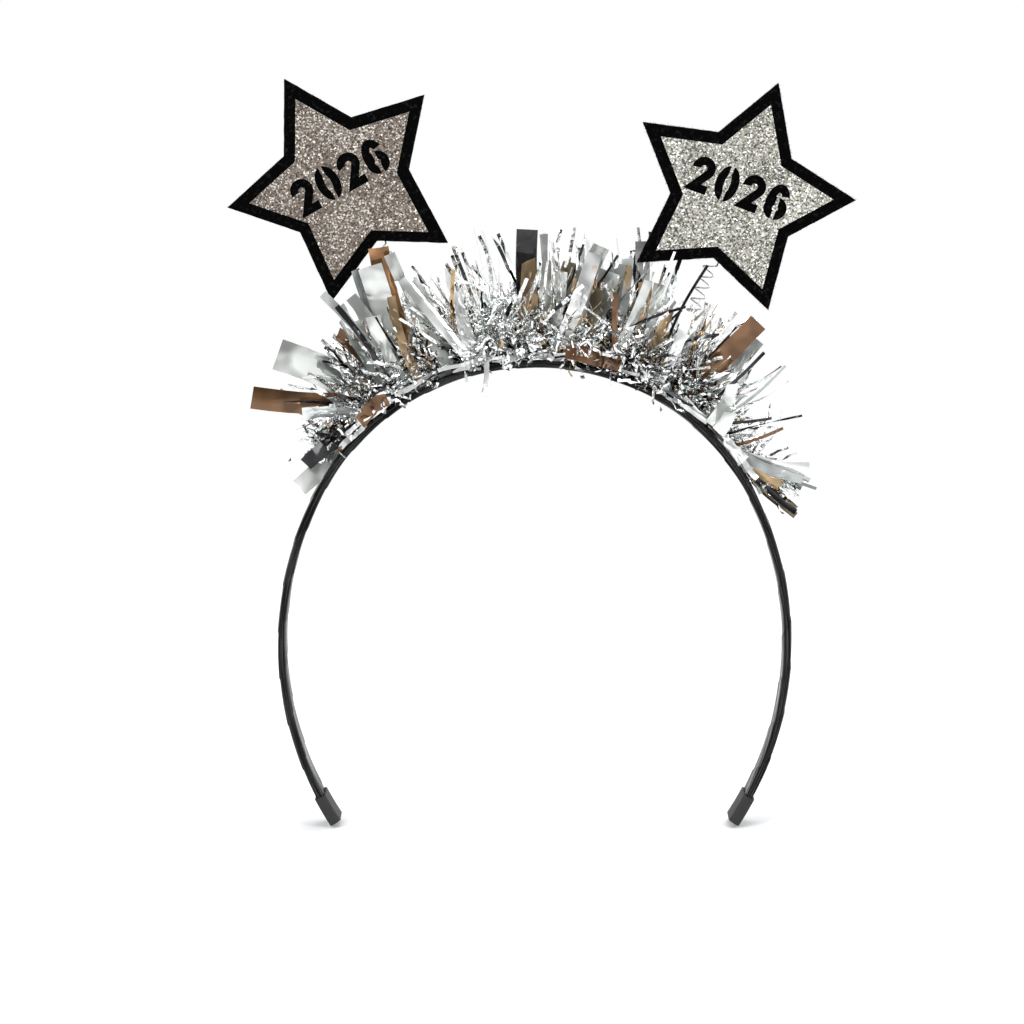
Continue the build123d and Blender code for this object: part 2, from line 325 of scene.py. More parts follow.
def makePlain(name, colour, size, depth, low, high, **settings):  # one colour with dents and uneven gloss
    material, tree, shader = newMaterial(name, **settings)
    dents = placeGroup(tree, crinkle, Size=size, Depth=depth, Detail=4.0)
    darker, lighter = (tuple(share * channel for channel in colour) for share in (0.8, 1.2))
    tone = addRamp(tree, dents["Mask"], (0.3, darker), (0.7, lighter))
    tree.links.new(tone, shader.inputs["Base Color"])
    tree.links.new(addRamp(tree, dents["Mask"], (0.3, low), (0.7, high)), shader.inputs["Roughness"])
    tree.links.new(dents["Normal"], shader.inputs["Normal"])
    return material


film = makeFilm("foilStrand", *filmLook["strand"])
stripFilm = makeFilm("foilStrip", *filmLook["strip"])
felt = makeFelt()
satin = makeSatin()
glitter = {side: makeGlitter(side) for side in sideNames}
wire = makePlain("springWire", (0.42, 0.42, 0.43), 0.8, 0.01, 0.22, 0.38, Metallic=1.0)
plastic = makePlain("bandPlastic", (0.012, 0.012, 0.013), 3.0, 0.02, 0.25, 0.4)
rubber = makePlain("tipRubber", (0.014, 0.014, 0.015), 0.5, 0.04, 0.55, 0.75)
hotGlue = makePlain("hotGlue", (0.5, 0.48, 0.43), 1.5, 0.05, 0.25, 0.4, Subsurface_Weight=0.4,
                    Subsurface_Radius=(0.002, 0.002, 0.0015))
craftGlue = makePlain("craftGlue", (0.45, 0.43, 0.38), 1.0, 0.04, 0.4, 0.6)
print("materials are ready")

# camera, light and floor
stage = {
    "target": Vector((-7.2, 0, 28.6)) * mm,
    "distance": 1.2,
    "elevation": math.radians(10),
    "view": math.radians(15.3),
    "floorSize": 1.0,
    "floorFade": (0.25, 0.9),  # the floor melts into the backdrop between these reaches
    "filmWidth": 36,
}


def makeStage():
    camera = bpy.data.objects.new("camera", bpy.data.cameras.new("camera"))
    bpy.context.collection.objects.link(camera)
    up = stage["elevation"]
    back = Vector((0, -math.cos(up), math.sin(up)))
    camera.location = stage["target"] + back * stage["distance"]
    camera.rotation_euler = (-back).to_track_quat("-Z", "Y").to_euler()
    camera.data.sensor_width = stage["filmWidth"]
    camera.data.lens = stage["filmWidth"] / 2 / math.tan(stage["view"] / 2)
    bpy.context.scene.camera = camera

    floorMaterial, tree, shader = newMaterial(
        "paleFloor", Roughness=0.9, Base_Color=(0.93, 0.93, 0.93, 1), Specular_IOR_Level=0.0,
    )
    place = addNode(tree, "ShaderNodeTexCoord").outputs["Object"]
    reach = addNode(tree, "ShaderNodeVectorMath", {0: place}, operation="LENGTH").outputs["Value"]
    solid, gone = stage["floorFade"]
    ends = {"Value": reach, "From Min": solid, "From Max": gone, "To Min": 1.0, "To Max": 0.0}
    fade = addNode(tree, "ShaderNodeMapRange", ends, interpolation_type="SMOOTHSTEP")
    tree.links.new(fade.outputs[0], shader.inputs["Alpha"])
    bm = bmesh.new()
    bmesh.ops.create_circle(bm, cap_ends=True, segments=96, radius=stage["floorSize"])
    bmesh.ops.translate(bm, verts=bm.verts, vec=(0, 0, cadLow.z - 0.5 * mm))
    floor = meshObject("floor", bm, floorMaterial, smooth=False)

    def softbox(name, place, size, power, colour=(1, 1, 1)):
        light = bpy.data.objects.new(name, bpy.data.lights.new(name, "AREA"))
        light.data.shape = "RECTANGLE"
        light.data.size, light.data.size_y = size
        light.data.energy = power
        light.data.color = colour
        light.location = place
        light.rotation_euler = (stage["target"] - light.location).to_track_quat("-Z", "Y").to_euler()
        bpy.context.collection.objects.link(light)

    softbox("keyLight", Vector((-0.75, -0.95, 0.85)), (0.5, 0.7), 9)
    softbox("fillLight", Vector((1.0, -0.75, 0.45)), (0.35, 0.8), 5)
    softbox("topLight", Vector((0.1, 0.1, 1.3)), (0.9, 0.9), 7)
    softbox("backLight", Vector((0.5, 1.1, 0.7)), (0.6, 0.6), 5)


def makeWorld():
    world = bpy.data.worlds.new("studio")
    world.use_nodes = True
    bpy.context.scene.world = world
    tree = world.node_tree
    background = tree.nodes["Background"]
    direction = addNode(tree, "ShaderNodeTexCoord").outputs["Generated"]
    parts = addNode(tree, "ShaderNodeSeparateXYZ", {"Vector": direction})
    # the studio is white at the back and overhead, and dim behind the camera
    depth = addNode(tree, "ShaderNodeMapRange", {"Value": parts.outputs["Y"], "From Min": -1.0}).outputs[0]
    dim, half = (0.035, 0.036, 0.037), (0.3, 0.305, 0.31)
    room = addRamp(tree, depth, (0.16, dim), (0.34, half), (0.52, 0.97))
    height = addNode(tree, "ShaderNodeMapRange", {"Value": parts.outputs["Z"], "From Min": -1.0}).outputs[0]
    sky = addRamp(tree, height, (0.62, 0), (0.8, 1))
    seen = addNode(tree, "ShaderNodeLightPath")
    white, soft = (1, 1, 1, 1), (0.72, 0.73, 0.74, 1)
    studio = mixColours(tree, sky, room, white)
    reflected = mixColours(tree, seen.outputs["Is Glossy Ray"], soft, studio)
    shown = mixColours(tree, seen.outputs["Is Camera Ray"], reflected, white)
    tree.links.new(shown, background.inputs["Color"])


makeStage()
makeWorld()
bpy.context.scene.view_settings.view_transform = "Standard"
print("camera, light and floor are ready")

# ribbon round the band
ribbon = {
    "lay": 15.0,  # mm along the band from one turn to the next
    "lap": 0.22,  # mm that a turn stands above the one it covers
    "wrinkle": 0.13,
    "corner": 0.36,  # how square the section is, 1 for an ellipse
    "around": 44,
    "step": 0.7,
    "legRadius": 105.0,
    "legEnd": 122.0,
    "blend": 4.0,
    "inset": 0.15,  # mm that the section is narrower than the band
    "folds": (0.05, 4, 0.3),
}


def ribbonSection(bm):  # the band's cross-section at the top of the crown
    bmesh.ops.create_circle(bm, segments=ribbon["around"], radius=1)
    halfWidth, halfHeight = ribbonWidth / 2 - ribbon["inset"] * mm, (ribbonOuter - seatRadius) / 2
    middle = seatRadius + halfHeight
    square = lambda value: math.copysign(abs(value) ** ribbon["corner"], value)
    for vert in bm.verts:
        vert.co = Vector((0, square(vert.co.x) * halfWidth, middle + square(vert.co.y) * halfHeight))


def makeRibbon(side):
    sign = -1 if side == "left" else 1
    flex = Vector(joints[side + "_leg_flex"]["pos_m"])
    crownAngle = abs(math.atan2(flex.x, flex.z))
    legCentre = flex.normalized() * (seatRadius - ribbon["legRadius"] * mm)
    legArc = math.radians(ribbon["legEnd"]) - crownAngle
    bm = bmesh.new()
    ribbonSection(bm)
    around = [edge for edge in bm.edges]
    bmesh.ops.contextual_create(bm, geom=list(bm.edges))
    crownSteps = round(crownAngle * coreMiddle / (ribbon["step"] * mm))
    legSteps = round(legArc * ribbon["legRadius"] / ribbon["step"])
    turned = bmesh.ops.spin(
        bm, geom=around, cent=(0, 0, 0), axis=(0, 1, 0), angle=sign * crownAngle, steps=crownSteps,
    )
    last = [item for item in turned["geom_last"] if isinstance(item, bmesh.types.BMEdge)]
    turned = bmesh.ops.spin(
        bm, geom=last, cent=legCentre, axis=(0, 1, 0), angle=sign * legArc, steps=legSteps,
    )
    last = [item for item in turned["geom_last"] if isinstance(item, bmesh.types.BMEdge)]
    bmesh.ops.contextual_create(bm, geom=last)
    bmesh.ops.recalc_face_normals(bm, faces=bm.faces)
    bm.normal_update()

    # distance along the band and round it, for the laps, the folds and the weave
    halfWidth, halfHeight = ribbonWidth / 2, (ribbonOuter - seatRadius) / 2
    girth = 4 * (halfWidth + halfHeight) / mm
    legMiddle = coreMiddle - seatRadius + ribbon["legRadius"] * mm
    lays = {}
    for vert in bm.verts:
        angle = math.atan2(vert.co.x, vert.co.z) * sign
        if angle <= crownAngle + 1e-6:
            along = angle * coreMiddle / mm
            out = vert.co.xz.length - coreMiddle
        else:
            spoke = vert.co - legCentre
            legTurn = math.atan2(spoke.x, spoke.z) * sign - crownAngle
            along = (crownAngle * coreMiddle + legTurn * legMiddle) / mm
            out = spoke.xz.length - legMiddle
        turn = math.atan2(out / halfHeight, vert.co.y / halfWidth) / (2 * math.pi) % 1
        lays[vert] = (sign * along, turn * girth)
    weave = bm.loops.layers.uv.new("lay")
    for face in bm.faces:
        rounds = [lays[loop.vert][1] for loop in face.loops]
        wraps = max(rounds) - min(rounds) > girth / 2 and len(rounds) < 5
        for loop, distance in zip(face.loops, rounds):
            whole = girth if wraps and distance < girth / 2 else 0
            loop[weave].uv = (lays[loop.vert][0], distance + whole)
    for vert, (along, distance) in lays.items():
        lap = (along / ribbon["lay"] - distance / girth) % 1
        place = (along, math.cos(distance / girth * 2 * math.pi), distance)
        fold = noise.noise(Vector([value * scale for value, scale in zip(place, ribbon["folds"])]))
        rise = ribbon["lap"] * (1 - lap) ** 1.5 + ribbon["wrinkle"] * fold
        vert.co += vert.normal * rise * mm
    piece = meshObject(side + "_ribbon", bm, satin)
    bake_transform(piece)
    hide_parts(side + "_ribbon_leg", "ribbon_crown")


for side in sideNames:
    makeRibbon(side)
print("ribbon is wound")

# springs
spring = {
    "coilRadius": 2.05,
    "wireRadius": 0.25,
    "turns": {"foot": 2, "lower": 2, "middle": 3, "upper": 4, "top": 1},
    "stepsPerTurn": 24,
    "wireSides": 8,
    "tail": 14.0,
    "tailBend": 0.5,
    "fine": 0.02,  # turns between the points of the axis
}


def springLine(side):  # the coil's axis, which eases from square to the band to the star's lean
    sway, nod, top = (Vector(joints[side + "_star_" + name]["pos_m"]) for name in ("sway", "nod", "twist"))
    axis = Vector(joints[side + "_star_bounce"]["axis"])
    foot, lean = math.atan2(sway.x, sway.z), math.atan2(axis.x, axis.z)
    parts, fine = spring["turns"], spring["fine"]
    pitch = (nod - sway).length / parts["lower"]
    turns = sum(parts.values())
    grid = np.arange(0, turns + 8, fine)  # runs on past the last turn for the tail
    first, second = parts["foot"], parts["foot"] + parts["lower"]
    ease = np.interp(grid, (first - 1, second + 1), (foot, lean))
    start = sway - heading(foot) * first * pitch
    middle = (ease[1:] + ease[:-1]) / 2
    x = start.x + np.concatenate(([0], np.cumsum(np.sin(middle)))) * fine * pitch
    z = start.z + np.concatenate(([0], np.cumsum(np.cos(middle)))) * fine * pitch
    at = lambda turn: (np.interp(turn, grid, x), np.interp(turn, grid, z), np.interp(turn, grid, ease))
    return {"at": at, "pitch": pitch, "turns": turns, "lean": lean, "axis": axis, "top": top}


def makeSpan(side, line, name, first, last, bodies, replaced):
    bm = bmesh.new()
    pitch, radius, thin = line["pitch"], spring["coilRadius"] * mm, spring["wireRadius"] * mm
    ring = bmesh.ops.create_circle(bm, segments=spring["wireSides"], radius=thin)["verts"]
    rise = math.atan2(pitch, 2 * math.pi * radius)
    bmesh.ops.rotate(bm, verts=ring, matrix=Matrix.Rotation(math.pi / 2 + rise, 3, "X"))
    bmesh.ops.translate(bm, verts=ring, vec=(radius, 0, first * pitch))
    bmesh.ops.rotate(bm, verts=ring, matrix=Matrix.Rotation(first * 2 * math.pi, 3, "Z"))
    steps = round((last - first) * spring["stepsPerTurn"])
    turned = bmesh.ops.spin(bm, geom=list(bm.edges), axis=(0, 0, 1), angle=(last - first) * 2 * math.pi,
                            dvec=(0, 0, (last - first) * pitch / steps), steps=steps)
    if last == line["turns"]:  # the wire turns up off the last coil and runs straight into the star
        end = [item for item in turned["geom_last"] if isinstance(item, bmesh.types.BMEdge)]
        bend = spring["tailBend"] * mm
        turned = bmesh.ops.spin(bm, geom=end, cent=(radius, 0, last * pitch + bend), axis=(1, 0, 0),
                                angle=math.pi / 2 - rise, steps=5)
        end = [item for item in turned["geom_last"] if isinstance(item, bmesh.types.BMEdge)]
        grown = bmesh.ops.extrude_edge_only(bm, edges=end)["geom"]
        bmesh.ops.translate(bm, verts=[item for item in grown if isinstance(item, bmesh.types.BMVert)],
                            vec=(0, 0, spring["tail"] * mm))
    bmesh.ops.holes_fill(bm, edges=[edge for edge in bm.edges if edge.is_boundary])
    bmesh.ops.recalc_face_normals(bm, faces=bm.faces)
    for vert in bm.verts:
        x, z, angle = line["at"](vert.co.z / pitch)
        vert.co = Vector((x + vert.co.x * math.cos(angle), vert.co.y, z - vert.co.x * math.sin(angle)))
    piece = meshObject(f"{side}_{name}", bm, wire)
    lower, upper, *bends = bodies
    start, end = (Vector((line["at"](turn)[0], 0, line["at"](turn)[1])) for turn in bends)
    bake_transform(piece)
    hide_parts(*[side + node for node in replaced])


# first and last turn, the two bodies and two turns, and the replaced nodes
spans = {
    "foot_coils": (0, 3, ("band", "_lower_coils", 1, 3), ["_spring_foot", "_spring_lower"]),
    "lower_coils": (3, 5, ("_lower_coils", "_middle_coils", 3, 5), ["_spring_middle"]),
    "long_coils": (5, 10.25, ("_middle_coils", "_upper_coils", 5, 10.25), ["_spring_upper"]),
    "top_coils": (10.25, 12, ("_upper_coils", "_star", 10.25, 11.75), ["_spring_top"]),
}
springLines = {side: springLine(side) for side in sideNames}
for side, line in springLines.items():
    for name, (first, last, bodies, replaced) in spans.items():
        makeSpan(side, line, name, first, last, bodies, replaced)

glueBlob = {"radius": 3.4, "height": 2.6, "lump": 0.15, "lumps": 0.45, "base": -0.8, "lift": 0.3}


def makeGlueBlob(side):  # hot glue round the first coils, sunk on to the ribbon
    sway = Vector(joints[side + "_star_sway"]["pos_m"])
    bm = bmesh.new()
    bmesh.ops.create_icosphere(bm, subdivisions=4, radius=glueBlob["radius"] * mm)
    for vert in bm.verts:
        vert.co *= 1 + glueBlob["lump"] * noise.noise(vert.co / mm * glueBlob["lumps"] + sway / mm)
        vert.co.z = max(vert.co.z * glueBlob["height"] / glueBlob["radius"], glueBlob["base"] * mm)
    angle = math.atan2(sway.x, sway.z)
    bmesh.ops.rotate(bm, verts=bm.verts, matrix=Matrix.Rotation(angle, 3, "Y"))
    bmesh.ops.translate(bm, verts=bm.verts, vec=heading(angle) * (ribbonOuter + glueBlob["lift"] * mm))
    piece = meshObject(side + "_glue_blob", bm, hotGlue)
    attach(piece, "band")
    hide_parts(side + "_foot_glue")


for side in sideNames:
    makeGlueBlob(side)
print("springs are coiled")

# stars
star = {
    "radius": 37.0,
    "notch": 0.553,  # reach of the inner corners, as a share of the radius
    "clearance": 1.8,  # mm from the last coil to the notch above it
    "halfDepth": 2.2,
    "waver": 0.1,
    "wavers": 0.35,
    "soften": 0.3,
    "swell": 0.25,  # rise of each face at the softened edge, as a share of it
    "edgeSteps": ((0.45, 0.6), (0.55, 0.4)),
    "edgeCuts": 27,
    "skew": {"left": {6: -5.5}, "right": {}},  # degrees that a corner is cut off true
}
starCentres = {}
for side, line in springLines.items():
    lastCoil = line["top"] + line["axis"] * line["pitch"] * spring["turns"]["top"]
    rise = star["radius"] * star["notch"] + star["clearance"]
    starCentres[side] = lastCoil + line["axis"] * rise * mm


def starShape(bm, radius, side):  # a flat ten-cornered face with one point up, edges cut fine
    bmesh.ops.create_circle(bm, cap_ends=True, segments=10, radius=radius)
    bm.verts.ensure_lookup_table()
    for corner, vert in enumerate(bm.verts):
        if corner % 2:
            vert.co *= star["notch"]
        vert.co.rotate(Matrix.Rotation(math.radians(star["skew"][side].get(corner, 0)), 3, "Z"))
    bmesh.ops.subdivide_edges(bm, edges=bm.edges, cuts=star["edgeCuts"])


def standUp(side, depth):  # from the flat to the plane of the stars, turned to the spring's lean
    return (Matrix.Translation(starCentres[side] + Vector((0, depth, 0)))
            @ Matrix.Rotation(springLines[side]["lean"], 4, "Y") @ Matrix.Rotation(math.pi / 2, 4, "X"))


def makeFeltStar(side, node, seed):
    low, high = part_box(node)
    bm = bmesh.new()
    starShape(bm, star["radius"] * mm, side)
    for vert in bm.verts:
        place = vert.co / mm * star["wavers"] + Vector((seed, seed, 0))
        away = noise.noise_vector(place) * star["waver"] * mm
        vert.co += Vector((away.x, away.y, 0))
    face = bm.faces[:]
    thickness = high.y - low.y
    grown = bmesh.ops.extrude_face_region(bm, geom=face)["geom"]
    bmesh.ops.translate(bm, verts=[item for item in grown if isinstance(item, bmesh.types.BMVert)],
                        vec=(0, 0, thickness))
    bmesh.ops.recalc_face_normals(bm, faces=bm.faces)
    flats = [item for item in bm.faces if len(item.verts) > 4]
    for step, share in star["edgeSteps"]:  # two narrow insets round the cut edge over
        bmesh.ops.inset_region(
            bm, faces=flats, thickness=star["soften"] * step * mm, use_even_offset=True, use_boundary=True,
        )
        for item in flats:
            up = 1 if item.normal.z > 0 else -1
            for vert in item.verts:
                vert.co.z += up * star["soften"] * share * star["swell"] * mm
    scale = thickness / (thickness + star["soften"] * 2 * star["swell"] * mm)
    for vert in bm.verts:
        vert.co.z = (vert.co.z - thickness / 2) * scale
    bmesh.ops.transform(bm, verts=bm.verts, matrix=standUp(side, (low.y + high.y) / 2))
    piece = meshObject(f"{side}_felt_{'front' if 'front' in node else 'back'}", bm, felt, smooth=False)
    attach(piece, side + "_star")
    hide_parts(node)


def filmTemplate(segments, across):  # a thin closed slab, cut across its length and width
    bm = bmesh.new()
    bmesh.ops.create_cube(bm, size=1)
    rails = [edge for edge in bm.edges if abs(edge.verts[0].co.z - edge.verts[1].co.z) > 0.5]
    bmesh.ops.subdivide_edges(bm, edges=rails, cuts=segments - 1, use_grid_fill=True)
    if across > 1:
        rungs = [edge for edge in bm.edges if abs(edge.verts[0].co.x - edge.verts[1].co.x) > 0.5]
        bmesh.ops.subdivide_edges(bm, edges=rungs, cuts=across - 1, use_grid_fill=True)
    mesh = bpy.data.meshes.new("filmTemplate")
    bm.to_mesh(mesh)
    bm.free()
    return mesh


layers = {"cupMiddle": 0.08, "sharp": math.radians(40)}


def layFilm(name, path, side, width, thickness, tint, material, across=1, cup=None):
    # path and side are (strips, rings, 3), width is (strips, rings) and tint is (strips, 3)
    count, rings = path.shape[:2]
    template = filmTemplate(rings - 1, across)
    bm = bmesh.new()
    for _ in range(count):
        bm.from_mesh(template)
    piece = meshObject(name, bm, material, smooth=across > 1)
    local = readPoints(template)
    ring = np.rint((local[:, 2] + 0.5) * (rings - 1)).astype(int)
    run = unit(np.gradient(path, axis=1))
    side = unit(side - run * np.sum(side * run, axis=-1, keepdims=True))
    face = np.cross(run, side)
    offset = side[:, ring] * (local[:, 0] * width[:, ring])[..., None]
    lift = np.broadcast_to(local[:, 1] * thickness, (count, len(local)))
    if cup is not None:
        lift = lift + cup[:, None] * (local[:, 0] ** 2 - layers["cupMiddle"]) * width[:, ring]
    points = path[:, ring] + offset + face[:, ring] * lift[..., None]
    piece.data.vertices.foreach_set("co", points.astype(np.float32).ravel())
    layer = piece.data.attributes.new("tint", "FLOAT_COLOR", "POINT")
    colours = np.concatenate([np.repeat(tint, len(local), axis=0), np.ones((count * len(local), 1))], axis=1)
    layer.data.foreach_set("color", colours.astype(np.float32).ravel())
    piece.data.update()
    if across > 1:
        piece.data.set_sharp_from_angle(angle=layers["sharp"])
    return piece


fuzz = {
    "left": 500,
    "right": 2400,
    "length": 0.34,
    "width": 0.03,
    "tip": 0.4,
    "spread": 0.5,
    "curl": 0.35,
    "root": 0.25,
    "inset": 0.2,
    "segments": 4,
    "shade": 0.01,
}


def makeFuzz(side, seed):  # loose wool fibres along the cut edge of the felt
    rng = np.random.default_rng(seed)
    count, segments = fuzz[side], fuzz["segments"]
    order = [corner % 10 for corner in range(11)]
    reach = np.array([star["notch"] if corner % 2 else 1 for corner in order])
    turns = np.array([math.radians(36 * corner + star["skew"][side].get(corner, 0)) for corner in order])
    corners = np.stack([-np.sin(turns) * reach, np.cos(turns) * reach], axis=-1)
    edge, share = rng.integers(0, 10, count), rng.random(count)
    spot = corners[edge] + (corners[edge + 1] - corners[edge]) * share[:, None]
    run = corners[edge + 1] - corners[edge]
    out = unit(np.stack([-run[:, 1], run[:, 0]], axis=-1))
    out *= np.sign(np.sum(out * spot, axis=-1, keepdims=True))
    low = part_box(side + "_star_front")[0].y
    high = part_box(side + "_star_back")[1].y
    depth = rng.uniform(low + fuzz["inset"] * mm, high - fuzz["inset"] * mm, count)
    root = np.stack([spot[:, 0] * star["radius"] * mm, depth, spot[:, 1] * star["radius"] * mm], axis=-1)
    direction = np.stack([out[:, 0], rng.normal(0, fuzz["spread"], count), out[:, 1]], axis=-1)
    direction = unit(direction + rng.normal(0, fuzz["spread"], (count, 3)))
    length = rng.gamma(3, fuzz["length"] / 3, count) * mm
    curl = rng.normal(0, fuzz["curl"], (count, segments, 3)).cumsum(axis=1)
    steps = unit(direction[:, None] + curl) * (length / segments)[:, None, None]
    buried = root[:, None] - direction[:, None] * fuzz["root"] * mm
    path = np.concatenate([buried, root[:, None] + steps.cumsum(axis=1)], axis=1)
    turn = Matrix.Rotation(springLines[side]["lean"], 3, "Y")
    path = path @ np.array(turn).T + np.array(starCentres[side])
    across = unit(np.cross(direction, rng.normal(0, 1, (count, 3)))) @ np.array(turn).T
    rings, thin = segments + 1, fuzz["width"] * mm
    width = np.broadcast_to(np.linspace(1, fuzz["tip"], rings) * thin, (count, rings))
    across = np.repeat(across[:, None], rings, axis=1)
    tint = np.full((count, 3), fuzz["shade"])
    piece = layFilm(side + "_felt_fuzz", path, across, width, thin, tint, felt)
    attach(piece, side + "_star")


for seed, side in enumerate(sideNames):
    makeFeltStar(side, side + "_star_back", seed * 40 + 10)
    makeFeltStar(side, side + "_star_front", seed * 40 + 20)
    makeFuzz(side, seed + 5)
print("felt stars are cut")

# garland
garland = {
    "rootRadius": 79.3,
    "rootDepth": 3.6,
    "rootSpread": 2.4,
    "maxDepth": 32.5,
    "starGap": 0.6,
    "springGap": 3.1,
    "thickness": 0.035,
    "segments": 10,
    # angle along the band in degrees, and the value there
    "density": ((-56, 0.2), (-50, 0.45), (-45, 0.75), (-30, 0.9), (-15, 1), (33, 1), (38, 0.6), (42, 0.22),
                (46, 0.05), (52, 0.06), (61, 0.14)),
    "reach": ((-56, 0.45), (-50, 0.6), (-40, 0.85), (-25, 0.95), (-10, 1.1), (10, 1.15), (24, 1.2),
              (31, 0.95), (36, 0.68), (41, 0.42), (54, 0.4), (61, 0.45)),
    # the warm tints champagne, bronze, tan and olive are painted reflections of brown hair, baked into the base
    # colour of silver film
    "tints": {"silver": (0.95, 0.955, 0.95), "cool": (0.82, 0.87, 0.86), "champagne_reflection": (0.5, 0.35, 0.2),
              "bronze_reflection": (0.19, 0.1, 0.05), "smoke": (0.035, 0.035, 0.038), "pale": (0.78, 0.8, 0.77),
              "grey": (0.42, 0.45, 0.44), "tan": (0.42, 0.21, 0.085), "olive_reflection": (0.3, 0.25, 0.16)},
    "share": {"silver": 0.66, "cool": 0.2, "champagne_reflection": 0.035, "bronze_reflection": 0.025, "smoke": 0.08},
}


def table(name, angle):
    places, values = zip(*garland[name])
    return np.interp(angle, places, values)


def pickTints(rng, count):
    names = list(garland["share"])
    chosen = rng.choice(len(names), size=count, p=list(garland["share"].values()))
    tints = np.array([garland["tints"][name] for name in names])[chosen]
    return np.clip(tints * rng.normal(1, 0.06, (count, 1)), 0, 1)


def insideStar(points, side, margin):  # is a point within the outline and thickness of a star
    away = points - np.array(starCentres[side])
    lean = springLines[side]["lean"]
    x = away[..., 0] * math.cos(lean) - away[..., 2] * math.sin(lean)
    z = away[..., 0] * math.sin(lean) + away[..., 2] * math.cos(lean)
    turn = math.pi / 5
    fold = np.abs((np.arctan2(x, z) + turn) % (2 * turn) - turn)
    across, up = star["notch"] * math.sin(turn), star["notch"] * math.cos(turn)
    edge = across / (np.cos(fold) * across - np.sin(fold) * (up - 1))
    within = np.hypot(x, z) < edge * star["radius"] * mm + margin
    return within & (np.abs(away[..., 1]) < star["halfDepth"] * mm + margin)


def nearSpring(points, side, margin):
    line = springLines[side]
    x, z, _ = line["at"](np.linspace(0, line["turns"], 40))
    away = np.hypot(points[..., 0, None] - x, points[..., 2, None] - z)
    return (away.min(axis=-1) < margin) & (np.abs(points[..., 1]) < margin)


def clearOfSprings(path):  # which strips miss the springs and the stars
    kept = (np.abs(path[..., 1]) < garland["maxDepth"] * mm).all(axis=1)
    starGap, springGap = garland["starGap"] * mm, garland["springGap"] * mm
    for side in sideNames:
        kept &= ~(insideStar(path, side, starGap) | nearSpring(path, side, springGap)).any(axis=1)
    return kept


strand = {
    "tries": 6,
    "most": 1.25,
    "maxSpread": 84,  # degrees to the front and back
    "maxLean": 70,  # degrees along the band
    "rootRise": 0.35,
    "bend": 0.25,
    "kink": 0.28,
    "twist": 2.2,
    "above": 0.4,  # mm over the ribbon
    "beside": 1,
}


def fineStrands(name, first, last, count, seed, lengths, wobble, widths, spread, lean, node=None, sway=0):
    rng = np.random.default_rng(seed)
    angle = rng.uniform(first, last, count * strand["tries"])
    angle = angle[rng.random(len(angle)) < table("density", angle)][: int(count * strand["most"])]
    count, rings = len(angle), garland["segments"] + 1
    reach = table("reach", angle)
    angle = np.radians(angle)
    azimuth = np.radians(np.clip(rng.normal(0, spread, count), -strand["maxSpread"], strand["maxSpread"]))
    along = np.radians(np.clip(rng.normal(sway, lean, count), -strand["maxLean"], strand["maxLean"]))
    radial, tangent = polar(angle, 1, 0), polar(angle + math.pi / 2, 1, 0)
    deep = np.array([0, 1.0, 0])
    direction = radial * np.cos(azimuth)[:, None] + deep * np.sin(azimuth)[:, None]
    direction = unit(direction + tangent * np.tan(along)[:, None])
    around = garland["rootSpread"] * mm * strand["rootRise"]
    root = polar(angle, garland["rootRadius"] * mm + around * np.cos(azimuth),
                 (garland["rootDepth"] + garland["rootSpread"] * np.sin(azimuth)) * mm)
    length = rng.uniform(*lengths, count) * reach * mm
    bend = rng.normal(0, strand["bend"], (count, 1, 3)) * np.linspace(0, 1, rings - 1)[None, :, None]
    jitter = rng.normal(0, 1, (count, rings - 1, 3)) * rng.uniform(*wobble, count)[:, None, None]
    steps = unit(direction[:, None] + bend + jitter) * (length / (rings - 1))[:, None, None]
    path = np.concatenate([root[:, None], root[:, None] + steps.cumsum(axis=1)], axis=1)
    low = np.hypot(path[..., 0], path[..., 2])  # nothing dips into the ribbon
    over = np.abs(path[..., 1]) < ribbonWidth / 2 + strand["beside"] * mm
    push = np.maximum(0, ribbonOuter + strand["above"] * mm - low) * over
    path[..., 0] += path[..., 0] / low * push
    path[..., 2] += path[..., 2] / low * push
    kept = clearOfSprings(path)
    path, direction, count = path[kept], direction[kept], int(kept.sum())
    start = unit(np.cross(direction, rng.normal(0, 1, (count, 3))))
    other = np.cross(direction, start)
    kinks = rng.normal(0, strand["kink"], (count, rings)).cumsum(axis=1)
    roll = rng.normal(0, strand["twist"], count)[:, None] * np.linspace(0, 1, rings) + kinks
    side = start[:, None] * np.cos(roll)[..., None] + other[:, None] * np.sin(roll)[..., None]
    width = np.repeat(rng.uniform(*widths, count)[:, None], rings, axis=1) * mm
    piece = layFilm(name, path, side, width, garland["thickness"] * mm, pickTints(rng, count), film)
    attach(piece, "band")
    if node:
        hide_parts(node)


stretches = {  # first and last angle in degrees, and the size of the pile
    "left": (-55.5, -26, 1820),
    "crown_left": (-26, 4.4, 1820),
    "crown_right": (4.4, 32, 1820),
    "right": (32, 60.5, 840),
}
for seed, (part, (first, last, pile)) in enumerate(stretches.items()):
    fineStrands("pile_" + part, first, last, pile, seed + 11, (9, 22), (0.4, 1.0), (0.5, 1.15), 46, 34,
                "garland_" + part)
    fineStrands("strands_" + part, first, last, 130, seed + 31, (17, 30), (0.02, 0.2), (0.8, 1.35), 36, 24)
    fineStrands("long_strands_" + part, first, last, 48, seed + 51, (28, 37), (0.005, 0.035), (0.8, 1.4),
                28, 22)
fineStrands("end_strands", 55, 60, 80, 91, (26, 50), (0.02, 0.25), (0.6, 1.6), 26, 10, sway=48)
fineStrands("last_long_strands", 40, 57, 38, 93, (45, 72), (0.005, 0.03), (0.6, 1.2), 26, 24, sway=5)
print("foil strands are laid")

